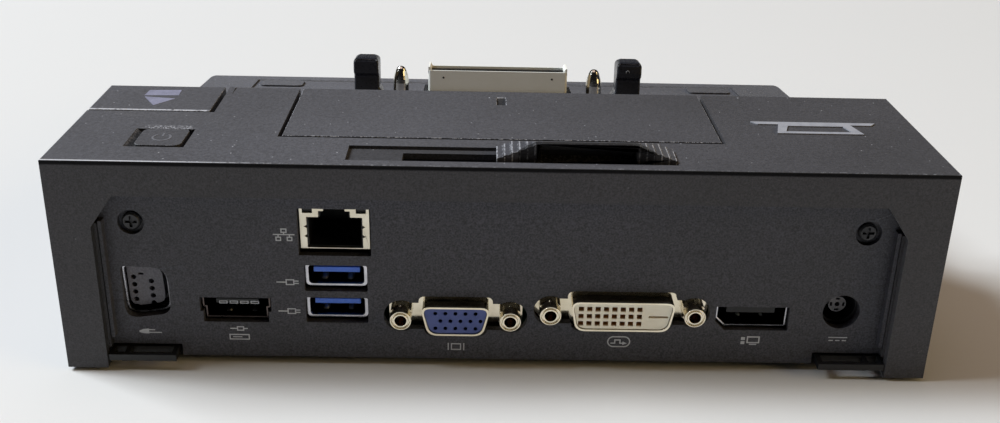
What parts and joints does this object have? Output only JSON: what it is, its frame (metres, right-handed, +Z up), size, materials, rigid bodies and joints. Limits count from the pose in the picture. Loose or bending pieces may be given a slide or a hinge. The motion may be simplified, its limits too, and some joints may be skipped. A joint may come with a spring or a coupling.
{
  "type": "laptop docking station",
  "caption": "Desktop docking station for a laptop: a wedge-shaped block with rear ports, a sliding battery bar, an eject button and a sloping deck with connector, guide pins and hooks.",
  "frame": {"origin": "centre of the footprint, on the table the feet stand on", "axes": "+X towards the eject button's side, +Y towards the port side, +Z up"},
  "size_m": [0.1974, 0.1612, 0.0554],
  "materials": {
    "case_plastic": "fine-grained charcoal plastic",
    "panel_plastic": "fine-grained charcoal plastic of the recessed port panel",
    "black_plastic": "smooth black moulded plastic",
    "rubber_black": "matte black rubber",
    "nickel_plate": "nickel-plated sheet metal",
    "chrome_pin": "polished plated pin",
    "steel_part": "plain steel of the inner mechanism",
    "dark_screw": "dark zinc-plated screws",
    "usb_blue": "blue moulded contact tongue",
    "vga_blue": "dull blue moulded insert",
    "cream_plastic": "cream moulded insert",
    "circuit_board": "green lacquered circuit board",
    "silver_print": "silver-grey foil pictogram"
  },
  "bodies": {
    "chassis": {"aux_socket_body": "black_plastic", "aux_socket_shell": "nickel_plate", "base_cover": "black_plastic", "base_screw_front_left": "dark_screw", "base_screw_front_right": "dark_screw", "base_screw_rear_left": "dark_screw", "base_screw_rear_right": "dark_screw", "block_cover": "case_plastic", "dc_jack_core": "steel_part", "dc_jack_housing": "black_plastic", "deck_cover": "case_plastic", "deck_pad_left": "rubber_black", "deck_pad_right": "rubber_black", "displayport_shell": "nickel_plate", "displayport_tongue": "black_plastic", "dock_board": "circuit_board", "dock_connector_frame": "black_plastic", "dock_connector_shell": "nickel_plate", "dock_contact_block": "black_plastic", "dvi_insert": "cream_plastic", "dvi_shell": "nickel_plate", "dvi_standoff_left": "nickel_plate", "dvi_standoff_right": "nickel_plate", "eject_spring": "steel_part", "emblem": "silver_print", "esata_shell": "nickel_plate", "esata_tongue": "black_plastic", "foot_front_left": "rubber_black", "foot_front_right": "rubber_black", "foot_rear_left": "rubber_black", "foot_rear_right": "rubber_black", "guide_pin_left": "chrome_pin", "guide_pin_right": "chrome_pin", "jack_stack_body": "black_plastic", "latch_spring": "steel_part", "lever_pin": "steel_part", "main_board": "circuit_board", "panel_screw_left": "dark_screw", "panel_screw_right": "dark_screw", "power_board": "circuit_board", "power_switch": "black_plastic", "rear_panel": "panel_plastic", "rj45_shield": "nickel_plate", "usb_lower_shell": "nickel_plate", "usb_lower_tongue": "usb_blue", "usb_upper_shell": "nickel_plate", "usb_upper_tongue": "usb_blue", "vga_insert": "vga_blue", "vga_shell": "nickel_plate", "vga_standoff_left": "nickel_plate", "vga_standoff_right": "nickel_plate"},
    "battery_bar": {"battery_bar": "case_plastic"},
    "bar_slider": {"slider_knob": "case_plastic", "slider_carrier": "steel_part"},
    "eject_button": {"eject_button": "case_plastic"},
    "eject_lever": {"eject_lever": "steel_part"},
    "latch": {"latch_plate": "steel_part", "latch_hook_left": "black_plastic", "latch_hook_right": "black_plastic"},
    "power_button": {"power_button": "case_plastic"}
  },
  "joints": [
    {"name": "bar_slider_slide", "type": "slide", "parent": "chassis", "child": "bar_slider", "axis": [1, 0, 0], "range_m": [0, 0.032]},
    {"name": "battery_bar_slide", "type": "slide", "parent": "chassis", "child": "battery_bar", "axis": [0, -0.9986, -0.052], "range_m": [0, 0.0181]},
    {"name": "eject_press", "type": "slide", "parent": "chassis", "child": "eject_button", "axis": [0, 0, -1], "range_m": [0, 0.003], "stiffness_N_per_m": 300, "springref_m": -0.004, "deforming": ["eject_spring"]},
    {"name": "eject_lever_rock", "type": "hinge", "parent": "chassis", "child": "eject_lever", "pos_m": [0.085, 0.0315, 0.029], "axis": [-1, 0, 0], "range_deg": [0, 17.5]},
    {"name": "latch_slide", "type": "slide", "parent": "chassis", "child": "latch", "axis": [0, -0.9877, -0.1561], "range_m": [0, 0.003], "deforming": ["latch_spring"]},
    {"name": "power_press", "type": "slide", "parent": "chassis", "child": "power_button", "axis": [0, 0.052, -0.9986], "range_m": [0, 0.0008], "stiffness_N_per_m": 500, "springref_m": -0.0008}
  ],
  "couplings": [
    {"joint": "battery_bar_slide", "follows": "bar_slider_slide", "ratio": 0.5625},
    {"joint": "eject_lever_rock", "follows": "eject_press", "rad_per_m": 100},
    {"joint": "latch_slide", "follows": "eject_press", "ratio": 0.97}
  ]
}
